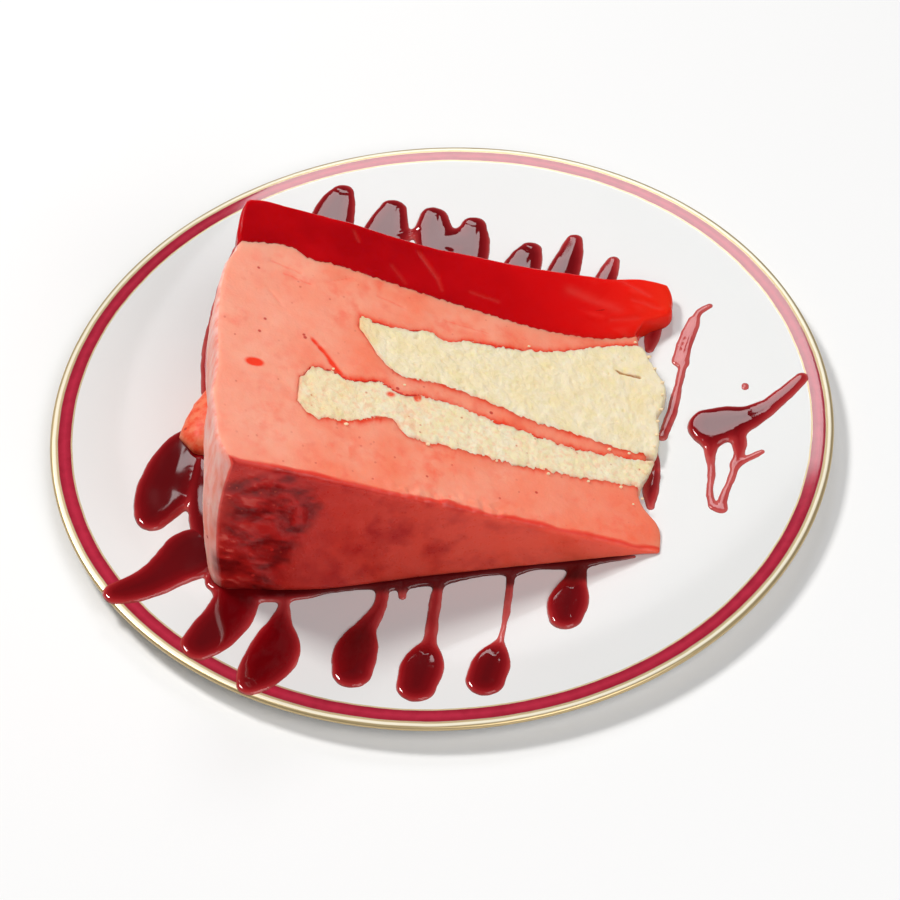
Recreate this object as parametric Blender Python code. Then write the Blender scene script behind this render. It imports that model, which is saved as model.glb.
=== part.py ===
"""A wedge of moulded mousse cake with a set jelly top, lying on its cut side on a dessert plate.

Units are metres and +Z is up. The origin is the middle of the plate's foot, on the table.
The cake has its own coordinates: s runs out from its middle, v runs up from its base to the jelly,
and phi turns from the cut side that lies on the plate to the cut side that faces up.
"""

import math

import bmesh
import bpy
from mathutils import Vector, noise

MM = 0.001
GAP = 0.3 * MM

# Plate
PLATE_RADIUS = 101 * MM
PLATE_THICK = 3.0 * MM
FLOOR_TOP = 5.0 * MM
FLOOR_RADIUS = 50 * MM
SHOULDER_WIDTH = 46 * MM
SHOULDER_RISE = 1.5 * MM
FOOT_OUTER = 58 * MM
FOOT_INNER = 55 * MM
FOOT_DEPTH = 2.0 * MM
PLATE_SIDES = 72

# Wedge of cake, as it was cut
CAKE_RADIUS = 123 * MM
CUT_ANGLE = math.radians(25)
JELLY_TOP = 87 * MM
EDGE_ROUND = 1.3 * MM

# How the wedge lies on the plate
TIP_AT = Vector((55.0, -49.9, 0.0)) * MM
TURN = math.radians(2.0)
LEAN = math.radians(5.5)
OUTWARD = Vector((-math.cos(TURN), -math.sin(TURN), 0.0))
UPWARD_IN_CAKE = Vector((math.sin(LEAN), math.cos(LEAN), 0.0))
TIP_LIFT = 5.5 * MM
LIFT_REACH = 50 * MM

# Sauce
SAUCE_HEIGHT = 1.6 * MM
SAUCE_ROOT = 1.2 * MM
CLEAR_OF_CAKE = 0.9 * MM


def smooth(t):
    """0 below 0, 1 above 1 and an S-curve between them."""
    t = min(max(t, 0.0), 1.0)
    return t * t * (3 - 2 * t)


def plate_top(radius):
    """Height of the plate's upper face at this distance from its middle."""
    return FLOOR_TOP + SHOULDER_RISE * smooth((radius - FLOOR_RADIUS) / SHOULDER_WIDTH)


def through(stations, at):
    """A smooth value through (place, value) stations, both in millimetres, at a place in metres."""
    place = at / MM
    if place <= stations[0][0]:
        return stations[0][1] * MM
    for (a, low), (b, high) in zip(stations, stations[1:]):
        if place <= b:
            return (low + (high - low) * smooth((place - a) / (b - a))) * MM
    return stations[-1][1] * MM


def rim_radius(v, phi):
    """The cake's outer radius: narrower at the jelly, rounded at the base, drawn in at the plate."""
    taper = through([(0, -7), (3, -4.8), (7, -2.8), (12, -1.7), (20, -0.2), (30, 0), (50, 1.2), (66, 1), (71, -1.1),
                     (86, -1.8), (90, -3.5)], v)
    tuck = through([(0, 3.9), (4, 4.5), (9, 6.2), (15, 8.4), (25, 10.5), (45, 10.5), (78, 15), (90, 15.5)], v)
    bend = through([(0, 1), (25, 1.1), (45, 1.35), (72, 1.15), (90, 1.1)], v) / MM
    return CAKE_RADIUS + taper - tuck * (1 - phi / CUT_ANGLE) ** bend


def tip_radius(v):
    """Where the wedge's thin end was broken off, for each height in the cake."""
    return through([(0, 2.6), (8, 3.1), (15, 7.8), (20, 8.6), (27, 7), (66, 9), (70, 10), (75, 7), (78, 2), (88, 1.5)], v)


def jelly_bottom(s):
    """Height of the seam between the mousse and the jelly."""
    return through([(0, 70.5), (10, 69), (18, 67.2), (32, 66), (55, 67.2), (73, 69), (90, 71), (108, 73), (123, 71.3)], s)


def jelly_top(s):
    return through([(0, 87.5), (9, 89.6), (33, 88), (60, 86.6), (85, 87.2), (110, 88.2), (123, 87)], s)


def thick_sponge_bottom(s):
    return through([(0, 30.7), (20, 31.4), (43, 34.4), (58, 38.2), (75, 40), (82, 45.5), (87, 51)], s)


def thick_sponge_top(s):
    return through([(0, 64.5), (10, 65.5), (22, 63.4), (35, 59), (50, 56.8), (75, 55.2), (87, 55.6)], s)


def thin_sponge_bottom(s):
    return through([(0, 19.6), (12, 19.2), (30, 18.4), (67, 19), (76, 22.5), (84, 20.6), (94, 19.5), (101, 23)], s)


def thin_sponge_top(s):
    return through([(0, 28.2), (32, 28), (50, 31.2), (64, 33.6), (92, 34.6), (101, 31.5)], s)


def foot_bulge(s, v, share):
    """How far the base face swells out over the plate, most at the foot of the wedge's wide half."""
    swell = through([(0, 0.2), (30, 0.4), (60, 1.2), (88, 2.8), (98, 2.2), (108, 0.6), (122, -0.6)], s)
    return swell * (1 - share) ** 2 * max(0.0, 1 - v / (25 * MM))


def on_plate(s, v, phi):
    """World point of a place in the cake, lying on the plate with its underside GAP above it."""
    share = phi / CUT_ANGLE
    flat = TIP_AT + OUTWARD * (s * math.cos(phi)) + UPWARD_IN_CAKE * (v - foot_bulge(s, v, share))
    lift = TIP_LIFT * (v / JELLY_TOP) * max(0.0, 1 - s / LIFT_REACH) ** 2
    rise = plate_top(flat.length) + GAP
    return Vector((flat.x, flat.y, rise * (1 - share) + (FLOOR_TOP + GAP + lift) * share + s * math.sin(phi)))


def stations(length, count, edge):
    """Places from 0 to length, with a close one near each end for the rounded edge."""
    inner = [edge + (length - 2 * edge) * i / (count - 2) for i in range(count - 1)]
    return [0.0] + inner + [length]


def cake_block(name, inner_end, outer_end, bottom, top, counts, rounding=EDGE_ROUND):
    """A closed block of the cake between two radii and two heights, through the whole cut angle."""
    length, height = 100 * MM, 40 * MM
    across = [stations(length, counts[0], rounding), stations(height, counts[1], rounding)]
    turns = counts[2]
    mesh = bmesh.new()
    made = {}

    def corner(i, j, k):
        if (i, j, k) in made:
            return made[(i, j, k)]
        share = k / turns
        v_guess = bottom(60 * MM) + (top(60 * MM) - bottom(60 * MM)) * across[1][j] / height
        s_guess = inner_end(v_guess) + (outer_end(v_guess, 0.0) - inner_end(v_guess)) * across[0][i] / length
        thick = max(s_guess * CUT_ANGLE, 1.0 * MM)
        radius = min(rounding, 0.45 * thick)
        place = Vector((across[0][i], across[1][j], thick * share))
        size = Vector((length, height, thick))
        core = Vector(min(max(place[n], radius), size[n] - radius) for n in range(3))
        out = place - core
        if out.length > 1e-9:
            place = core + out.normalized() * min(out.length, radius)
        phi = CUT_ANGLE * min(place.z / thick, 1.0)
        v = bottom(s_guess) + (top(s_guess) - bottom(s_guess)) * place.y / height
        inner = inner_end(v)
        s = inner + (outer_end(v, phi) - inner) * place.x / length
        v = bottom(s) + (top(s) - bottom(s)) * place.y / height
        made[(i, j, k)] = mesh.verts.new(on_plate(s, v, phi))
        return made[(i, j, k)]

    ni, nj = counts[0], counts[1]
    for j in range(nj):
        for i in range(ni):
            for k in (0, turns):
                mesh.faces.new(corner(i + a, j + b, k) for a, b in ((0, 0), (1, 0), (1, 1), (0, 1)))
    for k in range(turns):
        for i in range(ni):
            for j in (0, nj):
                mesh.faces.new(corner(i + a, j, k + b) for a, b in ((0, 0), (1, 0), (1, 1), (0, 1)))
        for j in range(nj):
            for i in (0, ni):
                mesh.faces.new(corner(i, j + a, k + b) for a, b in ((0, 0), (1, 0), (1, 1), (0, 1)))
    return finished(name, mesh)


def finished(name, mesh):
    """Turns the faces outwards and links the mesh as an object."""
    bmesh.ops.remove_doubles(mesh, verts=mesh.verts, dist=1e-6)
    bmesh.ops.recalc_face_normals(mesh, faces=mesh.faces)
    data = bpy.data.meshes.new(name)
    mesh.to_mesh(data)
    mesh.free()
    thing = bpy.data.objects.new(name, data)
    bpy.context.collection.objects.link(thing)
    return thing


def roughen(thing, depth, grain, keep_clear=None):
    """Pushes the surface in and out along its normals, by a fixed noise. keep_clear gives 0 where it may not move."""
    data = thing.data
    moves = []
    for vertex in data.vertices:
        held = 1.0 if keep_clear is None else keep_clear(vertex.co)
        down = smooth((vertex.co.z - plate_top(vertex.co.xy.length) - GAP) / (1.5 * MM))
        moves.append(vertex.normal * (depth * held * down * noise.noise(vertex.co / grain)))
    for vertex, move in zip(data.vertices, moves):
        vertex.co += move


def in_cake(x, y):
    """How far out and how far up the cake a point of the plan lies."""
    place = Vector((x, y, 0.0)) - TIP_AT
    skew = UPWARD_IN_CAKE.dot(OUTWARD)
    along, up = place.dot(OUTWARD), place.dot(UPWARD_IN_CAKE)
    return (along - skew * up) / (1 - skew * skew), (up - skew * along) / (1 - skew * skew)


def above_seam(point):
    """How far up the cake from the jelly's seam a point lies, and below 0 in the mousse."""
    s, v = in_cake(point.x, point.y)
    return v - jelly_bottom(s)


def material(name, colour, roughness):
    """A plain Principled finish."""
    made = bpy.data.materials.new(name)
    made.use_nodes = True
    shader = made.node_tree.nodes["Principled BSDF"]
    shader.inputs["Base Color"].default_value = (*colour, 1.0)
    shader.inputs["Roughness"].default_value = roughness
    return made


def boolean(thing, kind, cutters):
    """Applies one Boolean of a collection of helpers, and removes the helpers."""
    helpers = bpy.data.collections.new(thing.name + "_helpers")
    bpy.context.scene.collection.children.link(helpers)
    for cutter in cutters:
        bpy.context.collection.objects.unlink(cutter)
        helpers.objects.link(cutter)
    modifier = thing.modifiers.new("Shape", "BOOLEAN")
    modifier.operation = kind
    modifier.operand_type = "COLLECTION"
    modifier.collection = helpers
    modifier.solver = "EXACT"
    graph = bpy.context.evaluated_depsgraph_get()
    shaped = bpy.data.meshes.new_from_object(thing.evaluated_get(graph))
    thing.modifiers.clear()
    thing.data = shaped
    for cutter in cutters:
        bpy.data.objects.remove(cutter)
    bpy.data.collections.remove(helpers)


def grown(thing, by, through_cut):
    """A copy of a layer, larger all round and standing out of both cut faces, as a cutter for the mousse."""
    copy = thing.copy()
    copy.data = thing.data.copy()
    bpy.context.collection.objects.link(copy)
    upper_cut = Vector((0, 0, math.cos(CUT_ANGLE))) - OUTWARD * math.sin(CUT_ANGLE)
    normals = [vertex.normal.copy() for vertex in copy.data.vertices]
    for vertex, normal in zip(copy.data.vertices, normals):
        vertex.co += normal * by
        if normal.dot(upper_cut) > 0.6:
            vertex.co += upper_cut * through_cut
        if normal.z < -0.6:
            vertex.co.z -= through_cut
    return copy


def jelly():
    """The clear layer that was set in the mould first, so it crowns the cake."""
    block = cake_block(
        "jelly", tip_radius, rim_radius,
        lambda s: jelly_bottom(s) + 0.5 * GAP, jelly_top, (20, 5, 5), rounding=0.9 * MM,
    )
    roughen(block, 0.5 * MM, 9 * MM, lambda point: smooth(above_seam(point) / (6 * MM)))
    return block


def thick_sponge():
    """The middle layer of sponge, domed towards the cake's middle and torn at the tip."""
    block = cake_block(
        "sponge_thick", lambda v: through([(30, 4.4), (36, 3.6), (48, 3.4), (56, 5), (65, 8)], v),
        lambda v, phi: 87 * MM, thick_sponge_bottom, thick_sponge_top, (22, 7, 4), rounding=1.0 * MM,
    )
    roughen(block, 0.9 * MM, 3.5 * MM)
    return block


def thin_sponge():
    """The lower layer of sponge, which reaches further out."""
    block = cake_block(
        "sponge_thin", lambda v: through([(19, 8), (23, 7), (27, 6)], v),
        lambda v, phi: 101 * MM, thin_sponge_bottom, thin_sponge_top, (24, 4, 4), rounding=1.0 * MM,
    )
    roughen(block, 0.7 * MM, 3.5 * MM)
    return block


def mousse_smear():
    """Mousse squeezed out at the foot of the rim, on the side away from the tip."""
    bpy.ops.mesh.primitive_uv_sphere_add(segments=16, ring_count=10, radius=1.0)
    lump = bpy.context.object
    lump.name = "smear"
    for vertex in lump.data.vertices:
        far = 0.5 + 0.5 * vertex.co.y
        vertex.co = Vector((
            -59 * MM + (10.5 - 6.5 * far) * MM * vertex.co.x,
            3.6 * MM + 12.5 * MM * vertex.co.y,
            8 * MM + (5.5 - 2 * far) * MM * vertex.co.z,
        ))
        low = plate_top(vertex.co.xy.length) + GAP
        vertex.co.z = max(vertex.co.z, low)
    return lump


def mousse(sponges):
    """The set cream that fills the mould round the two layers of sponge."""
    block = cake_block(
        "mousse", tip_radius, rim_radius,
        lambda s: 0.0, lambda s: jelly_bottom(s) - 0.5 * GAP, (20, 12, 6),
    )
    roughen(block, 0.6 * MM, 12 * MM, lambda point: smooth(-above_seam(point) / (6 * MM)))
    boolean(block, "UNION", [mousse_smear()])
    boolean(block, "DIFFERENCE", [grown(layer, 2 * GAP, 2 * MM) for layer in sponges])
    return block


# Each run of sauce on the plate: x, y and half its width, in millimetres, from one end to the other.
SAUCE_RUNS = [
    [(-68.5, -9, 4), (-70, -16, 7.2), (-72.2, -23.5, 6.8), (-74, -28.5, 4.6)],
    [(-66, -42, 7), (-68, -45.2, 6.6), (-75, -51.2, 5), (-84, -54.5, 2.8)],
    [(-53, -58, 5.6), (-55.5, -63.5, 6.1), (-58.8, -68.5, 5.8), (-61, -71.5, 4.4)],
    [(-41.2, -59, 1.6), (-42.6, -67, 3.7), (-43.8, -74.5, 6.4), (-47, -80.5, 5.6), (-49.5, -84, 3.6)],
    [(-16.8, -56, 1.7), (-17.6, -61.3, 1.9), (-21.4, -68.5, 3.1), (-24, -76, 5.5), (-24.8, -82, 5)],
    [(-2.6, -56, 1.5), (-5.8, -74, 2), (-8, -82, 5.4), (-9.4, -87.5, 4.8)],
    [(15.2, -55, 1.2), (11.5, -74.5, 1.2), (8.8, -82, 4.8), (7.3, -87, 4.8)],
    [(32, -54, 2), (30.7, -57.5, 3.3), (28.5, -64.5, 5), (27.9, -68.2, 4.2)],
    [(-21, 56, 3.5), (-24.5, 70, 5.2), (-26.2, 80, 5.8), (-26, 82.2, 5.2)],
    [(-13, 54, 5), (-12.5, 66, 6.2), (-10.6, 74.2, 5.4)],
    [(-1, 54, 5), (0.5, 64, 5.5), (1.3, 71.5, 5)],
    [(9, 50, 4.6), (10, 60, 5), (10.6, 66.9, 4.5)],
    [(25.2, 46, 4.3), (25.8, 56.3, 4.8)],
    [(35.5, 46, 4.2), (37, 53, 4.3), (39.2, 59.6, 3)],
    [(47, 43, 2.8), (48, 49.5, 3.1), (49.1, 51.4, 2.6)],
    [(72.6, 34.1, 1), (68, 27.1, 1.3), (63.4, 12.1, 1.3), (60.5, 1, 1.4)],
    [(67.3, 29.7, 0.9), (63.5, 20, 1.1), (62.6, 14.9, 1.1), (64.3, 14.3, 1.1)],
    [(94, 6, 1.9), (83.5, -3.7, 3), (77, -7, 4.4), (69.5, -8.6, 6.4)],
    [(68.6, -14, 2.2), (67.9, -23, 1.2), (66.8, -34, 1.2), (69.2, -36.6, 1.2)],
    [(75.5, -11, 2.6), (75.6, -17, 1.7), (72.5, -26.7, 1.3), (69.4, -35.5, 1.3)],
    [(74.2, -22, 1.2), (77.8, -20.2, 1.1), (81.1, -18.5, 0.9)],
    [(53.5, -25, 1.6), (52.5, -29, 1.8), (52, -34, 1.2)],
]
SAUCE_SECTIONS = 3
SAUCE_ARCH = 4


def clear_of_cake(x, y):
    """Distance from a point on the plate to the wedge's footprint, in metres."""
    s, v = in_cake(x, y)
    torn = 0.0 if 30 * MM < v < 66 * MM else tip_radius(v) - 1 * MM
    beyond_s = max(torn - s, s - CAKE_RADIUS + 6 * MM, 0.0)
    beyond_v = max(-v - foot_bulge(s, 0.0, 0.0), v - JELLY_TOP - 2 * MM, 0.0)
    smear = math.hypot((x / MM + 59) / 10.5, (y / MM - 3.6) / 12.5) - 1
    return min(math.hypot(beyond_s, beyond_v), max(smear, 0.0) * 10.5 * MM)


def sauce_run(points):
    """One run of sauce: low arches swept along its path, with round ends, rooted in the plate."""
    path = []
    for (x0, y0, w0), (x1, y1, w1) in zip(points, points[1:]):
        for step in range(SAUCE_SECTIONS):
            t = step / SAUCE_SECTIONS
            path.append((x0 + (x1 - x0) * t, y0 + (y1 - y0) * t, w0 + (w1 - w0) * smooth(t)))
    path.append(points[-1])
    path = [Vector(p) * MM for p in path]
    heading = [(b.xy - a.xy).normalized() for a, b in zip(path, path[1:])]
    first, last = path[0], path[-1]
    sections = []
    for back, share in ((0.97, 0.25), (0.7, 0.71)):
        sections.append((first.xy - heading[0] * first.z * back, first.z * share, heading[0]))
    for i, place in enumerate(path):
        ahead = (heading[max(i - 1, 0)] + heading[min(i, len(heading) - 1)]).normalized()
        sections.append((place.xy, place.z, ahead))
    for back, share in ((0.7, 0.71), (0.97, 0.25)):
        sections.append((last.xy + heading[-1] * last.z * back, last.z * share, heading[-1]))
    mesh = bmesh.new()
    rings = []
    for centre, half, ahead in sections:
        half = min(half, clear_of_cake(*centre) - CLEAR_OF_CAKE)
        if half < 0.3 * MM:
            continue
        side = Vector((-ahead.y, ahead.x))
        tall = SAUCE_HEIGHT * min(1.0, half / (3.5 * MM)) ** 0.6
        ring = []
        for n in range(SAUCE_ARCH + 1):
            turn = math.pi * n / SAUCE_ARCH
            flat = centre + side * (half * math.cos(turn))
            ring.append(mesh.verts.new((*flat, plate_top(flat.length) + tall * math.sin(turn) - 0.2 * MM)))
        for edge in (-1, 1):
            flat = centre + side * (half * 0.8 * edge)
            ring.append(mesh.verts.new((*flat, plate_top(flat.length) - SAUCE_ROOT)))
        rings.append(ring)
    for a, b in zip(rings, rings[1:]):
        for n in range(len(a)):
            m = (n + 1) % len(a)
            mesh.faces.new((a[n], a[m], b[m], b[n]))
    mesh.faces.new(rings[0])
    mesh.faces.new(reversed(rings[-1]))
    return finished("sauce", mesh)


def plate():
    """A turned plate with a low shoulder, a near-flat rim and a foot ring, and the sauce fused on it."""
    lip = plate_top(PLATE_RADIUS)
    upper = [r * MM for r in (30, 52, 58, 64, 70, 76, 82, 88, 94, 98.5)]
    lower = [r * MM for r in (97, 88, 78, 68, 62)]
    outline = [(0.0, FLOOR_TOP)]
    outline += [(r, plate_top(r)) for r in upper]
    outline += [(PLATE_RADIUS - 0.3 * MM, lip), (PLATE_RADIUS, lip - 0.8 * MM), (PLATE_RADIUS - 0.6 * MM, lip - 1.7 * MM)]
    outline += [(r, max(plate_top(r) - PLATE_THICK, FOOT_DEPTH)) for r in lower]
    outline += [(FOOT_OUTER, 0.0), (FOOT_INNER, 0.0), (FOOT_INNER - 1 * MM, FOOT_DEPTH), (0.0, FOOT_DEPTH)]
    mesh = bmesh.new()
    line = [mesh.verts.new((r, 0.0, z)) for r, z in outline]
    edges = [mesh.edges.new(pair) for pair in zip(line, line[1:])]
    bmesh.ops.spin(
        mesh, geom=line + edges, cent=(0, 0, 0), axis=(0, 0, 1),
        angle=2 * math.pi, steps=PLATE_SIDES, use_merge=True,
    )
    thing = finished("plate", mesh)
    boolean(thing, "UNION", [sauce_run(run) for run in SAUCE_RUNS])
    return thing


def build():
    for thing in list(bpy.data.objects):
        bpy.data.objects.remove(thing)
    finishes = {
        "plate": material("porcelain", (0.87, 0.87, 0.85), 0.15),
        "jelly": material("red_jelly", (0.5, 0.004, 0.008), 0.12),
        "mousse": material("berry_mousse", (0.92, 0.3, 0.2), 0.45),
        "sponge": material("sponge", (0.88, 0.76, 0.48), 0.9),
    }
    layers = [thick_sponge(), thin_sponge()]
    things = {
        "plate": [plate()],
        "jelly": [jelly()],
        "mousse": [mousse(layers)],
        "sponge": layers,
    }
    for finish, group in things.items():
        for thing in group:
            thing.data.materials.clear()
            thing.data.materials.append(finishes[finish])
            thing.data.shade_smooth()
            thing.data.set_sharp_from_angle(angle=math.radians(40))


build()
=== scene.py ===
"""A slice of moulded mousse cake with a jelly top, lying on a dessert plate drizzled with berry sauce."""

import math

import bmesh
import bpy
import numpy as np
from mathutils import Matrix, Vector, noise


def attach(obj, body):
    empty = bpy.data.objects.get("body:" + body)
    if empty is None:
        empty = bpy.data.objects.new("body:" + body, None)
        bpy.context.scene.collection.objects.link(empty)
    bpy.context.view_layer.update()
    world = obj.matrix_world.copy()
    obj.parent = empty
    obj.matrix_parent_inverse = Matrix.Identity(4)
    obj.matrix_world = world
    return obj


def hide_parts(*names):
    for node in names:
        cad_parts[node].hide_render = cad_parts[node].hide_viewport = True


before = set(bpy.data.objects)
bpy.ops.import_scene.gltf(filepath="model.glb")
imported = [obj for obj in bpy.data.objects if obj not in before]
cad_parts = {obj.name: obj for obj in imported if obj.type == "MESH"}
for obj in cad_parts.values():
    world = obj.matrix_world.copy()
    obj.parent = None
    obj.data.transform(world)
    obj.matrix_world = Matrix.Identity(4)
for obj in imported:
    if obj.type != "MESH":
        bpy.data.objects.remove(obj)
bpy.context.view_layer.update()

MM = 0.001


# The dessert plate.
# Turned from white porcelain with a foot ring, glazed all over and fired,
# then banded in burgundy enamel with a gold line inside it and gold on the lip.
FLOOR_TOP = 5.0
FLOOR_RADIUS = 50.0
SHOULDER_WIDTH = 46.0
SHOULDER_RISE = 1.5
PLATE_RADIUS = 101.0
PLATE_THICK = 3.0
FOOT_RADII = (58.0, 55.0)
FOOT_DEPTH = 2.0
BAND = (95.5, 98.9)
GOLD_LINE = (95.15, 95.5)
# A pale cream ring on top of the gold lip is a painted highlight, the gold's reflection of the lights, with
# less metal there.
LIP_HIGHLIGHT_RING = (99.45, 100.25)


def smooth(t):
    t = np.clip(t, 0.0, 1.0)
    return t * t * (3 - 2 * t)


def plate_top(radius):
    """Height of the plate's upper face, in millimetres, at this distance from its middle."""
    return FLOOR_TOP + SHOULDER_RISE * smooth((radius - FLOOR_RADIUS) / SHOULDER_WIDTH)


def start_editing(thing):
    bpy.ops.object.select_all(action="DESELECT")
    thing.select_set(True)
    bpy.context.view_layer.objects.active = thing
    bpy.ops.object.mode_set(mode="EDIT")


def stop_editing():
    bpy.ops.mesh.select_all(action="SELECT")
    bpy.ops.mesh.normals_make_consistent(inside=False)
    bpy.ops.object.mode_set(mode="OBJECT")


def turn_plate():
    """Starts as a disc, and is drawn out ring by ring over the rim, under it and in to the foot."""
    lip = float(plate_top(PLATE_RADIUS))
    upper = [(r, float(plate_top(r))) for r in np.arange(8.0, 100.1, 2.0)]
    edge = [
        (PLATE_RADIUS - 0.7 + 0.7 * math.sin(a), lip - 0.72 + 0.72 * math.cos(a))
        for a in (0.35, 0.9, 1.45, 2.0, 2.6)
    ]
    lower = [
        (r, max(float(plate_top(r)) - PLATE_THICK, FOOT_DEPTH + 0.6))
        for r in np.arange(98.0, 61.0, -3.0)
    ]
    foot = [
        (FOOT_RADII[0] + 1.0, FOOT_DEPTH - 0.2), (FOOT_RADII[0] - 0.2, 0.25), (FOOT_RADII[0] - 0.8, 0.0),
        (FOOT_RADII[1] + 0.8, 0.0), (FOOT_RADII[1] + 0.2, 0.25), (FOOT_RADII[1] - 0.8, FOOT_DEPTH),
        (30.0, FOOT_DEPTH), (6.0, FOOT_DEPTH),
    ]
    outline = upper + edge + lower + foot
    bpy.ops.object.select_all(action="DESELECT")
    bpy.ops.mesh.primitive_circle_add(
        vertices=240, radius=outline[0][0] * MM, fill_type="TRIFAN", location=(0, 0, outline[0][1] * MM)
    )
    china = bpy.context.object
    china.name = "plate_china"
    bpy.ops.object.transform_apply(location=True, rotation=False, scale=False)
    start_editing(china)
    bpy.ops.mesh.select_all(action="DESELECT")
    bpy.ops.mesh.select_non_manifold()
    for (radius, height), (next_radius, next_height) in zip(outline, outline[1:]):
        bpy.ops.mesh.extrude_edges_move(
            TRANSFORM_OT_translate={"value": (0, 0, (next_height - height) * MM)}
        )
        grow = next_radius / radius
        bpy.ops.transform.resize(value=(grow, grow, 1), center_override=(0, 0, 0))
    bpy.ops.mesh.edge_face_add()
    stop_editing()
    china.data.shade_smooth()
    return china


class Wire:
    """The output of a shader node. Sums and products of wires add the Math nodes they need."""

    def __init__(self, finish, socket):
        self.finish = finish
        self.socket = socket

    def math(self, operation, *values):
        settings = {"operation": operation}
        return self.finish.add("ShaderNodeMath", settings, dict(enumerate((self, *values))))

    def __add__(self, other):
        return self.math("ADD", other)

    def __sub__(self, other):
        return self.math("SUBTRACT", other)

    def __mul__(self, other):
        return self.math("MULTIPLY", other)

    def __rsub__(self, other):
        return self.math("MULTIPLY", -1.0).math("ADD", other)

    __radd__ = __add__
    __rmul__ = __mul__

    def step(self, low, high):
        """0 at low, 1 at high and a straight ramp between them."""
        sockets = {"Value": self, "From Min": low, "From Max": high}
        return self.finish.add("ShaderNodeMapRange", {"clamp": True}, sockets)


class Finish:
    """One material, built on its Principled shader."""

    def __init__(self, name, fixed):
        self.material = bpy.data.materials.new(name)
        self.material.use_nodes = True
        self.tree = self.material.node_tree
        self.shader = self.tree.nodes["Principled BSDF"]
        for socket, value in fixed.items():
            self.shader.inputs[socket].default_value = value

    def add(self, kind, settings=None, sockets=None, output=0):
        """Adds a node, sets it, then gives its sockets their values or wires."""
        node = self.tree.nodes.new(kind)
        for name, value in (settings or {}).items():
            if name == "stops":
                ramp = node.color_ramp.elements
                while len(ramp) < len(value):
                    ramp.new(0.5)
                for stop, (place, colour) in zip(ramp, value):
                    stop.position = place
                    stop.color = colour
            else:
                setattr(node, name, value)
        for name, value in (sockets or {}).items():
            self.plug(node.inputs[name], value)
        return Wire(self, node.outputs[output])

    def plug(self, socket, value):
        if isinstance(value, Wire):
            self.tree.links.new(value.socket, socket)
        else:
            socket.default_value = value

    def feed(self, socket, value):
        self.plug(self.shader.inputs[socket], value)

    def place(self):
        return self.add("ShaderNodeTexCoord", output="Object")

    def stored(self, name):
        """The value that the mesh keeps at each of its points."""
        return self.add("ShaderNodeAttribute", {"attribute_name": name}, output="Fac")

    def cloud(self, size, detail=3.0, rough=0.5, shift=0.0, stretch=(1, 1, 1)):
        """Soft noise about size millimetres across, around 0.5."""
        sockets = {"Vector": self.place(), "Location": (shift, shift, shift), "Scale": stretch}
        moved = self.add("ShaderNodeMapping", None, sockets)
        sockets = {"Vector": moved, "Scale": 1.0 / (size * MM), "Detail": detail, "Roughness": rough}
        return self.add("ShaderNodeTexNoise", None, sockets)

    def mix(self, share, low, high):
        """A colour between two."""
        sockets = {0: share, 6: low, 7: high}
        return self.add("ShaderNodeMix", {"data_type": "RGBA"}, sockets, output=2)

    def bump(self, height, depth, strength=1.0):
        """Small relief, with depth in millimetres for a height of 1."""
        sockets = {"Height": height, "Distance": depth * MM, "Strength": strength}
        self.feed("Normal", self.add("ShaderNodeBump", None, sockets))

    def coat(self, thing):
        thing.data.materials.clear()
        thing.data.materials.append(self.material)


def rgb(red, green, blue):
    """A colour from its values on a 0 to 255 display scale."""
    shares = [c / 255 for c in (red, green, blue)]
    return tuple(c / 12.92 if c < 0.0431 else ((c + 0.055) / 1.055) ** 2.4 for c in shares) + (1.0,)


plate_china = turn_plate()
glaze = Finish("porcelain_glaze", {"IOR": 1.5, "Specular IOR Level": 0.15, "Coat Roughness": 0.05})
flat_place = glaze.add("ShaderNodeMapping", None, {"Vector": glaze.place(), "Scale": (1, 1, 0)})
radius = glaze.add("ShaderNodeVectorMath", {"operation": "LENGTH"}, {0: flat_place}, output="Value") * 1000.0
height = glaze.add("ShaderNodeSeparateXYZ", None, {0: glaze.place()}, output=2) * 1000.0
brushed = radius + (glaze.cloud(9.0, 2.0) - 0.5) * 0.35
upper_side = height.step(FLOOR_TOP + 0.2, FLOOR_TOP + 0.6)


def from_radius(place, blur):
    """0 inside this radius and 1 outside it."""
    return brushed.step(place - blur, place + blur)


def painted_ring(inner, outer, blur):
    return from_radius(inner, blur) * (1 - from_radius(outer, blur)) * upper_side


lip = from_radius(BAND[1], 0.12)
band = from_radius(BAND[0], 0.1) * (1 - lip) * upper_side
line = painted_ring(*GOLD_LINE, 0.08)
lip_highlight = painted_ring(*LIP_HIGHLIGHT_RING, 0.15)
gold = (line + lip).math("MINIMUM", 1.0)
white = glaze.mix(glaze.cloud(22.0, 2.0), rgb(221, 222, 221), rgb(225, 225, 224))
to_edge = (brushed - BAND[0]).step(0.0, BAND[1] - BAND[0]).math("SUBTRACT", 0.5).math("ABSOLUTE")
tone = (to_edge * 1.44 + (glaze.cloud(3.0, 4.0) - 0.5) * 0.9).step(0.0, 1.0)
burgundy = glaze.mix(tone, rgb(182, 40, 65), rgb(132, 14, 34))
colour = glaze.mix(band, white, burgundy)
# The gold lip's pale ring is a painted highlight.
foil = glaze.mix(lip_highlight, rgb(204, 180, 134), rgb(248, 240, 216))
glaze.feed("Base Color", glaze.mix(gold, colour, foil))
glaze.feed("Metallic", gold * (1 - lip_highlight * 0.6) * 0.6)
glaze.feed("Coat Weight", band * 0.8)
glaze.feed("Roughness", 0.07 + gold * 0.22 + glaze.cloud(1.5, 2.0) * 0.02)
glaze.coat(plate_china)
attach(plate_china, "root")
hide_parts("plate")


# The berry sauce.
# A thin dark fruit syrup, drizzled to and fro over the plate before the slice was laid on it.
# It lies where it fell, in flat pools with round edges, and gathers along the slice's foot, where it is
# darkened as a painted shadow of the slice.
SAUCE_CELL = 0.32
SAUCE_DEPTH = 1.15
SAUCE_SUNK = 0.06
DEPTH_PER_WIDTH = 0.28

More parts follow.
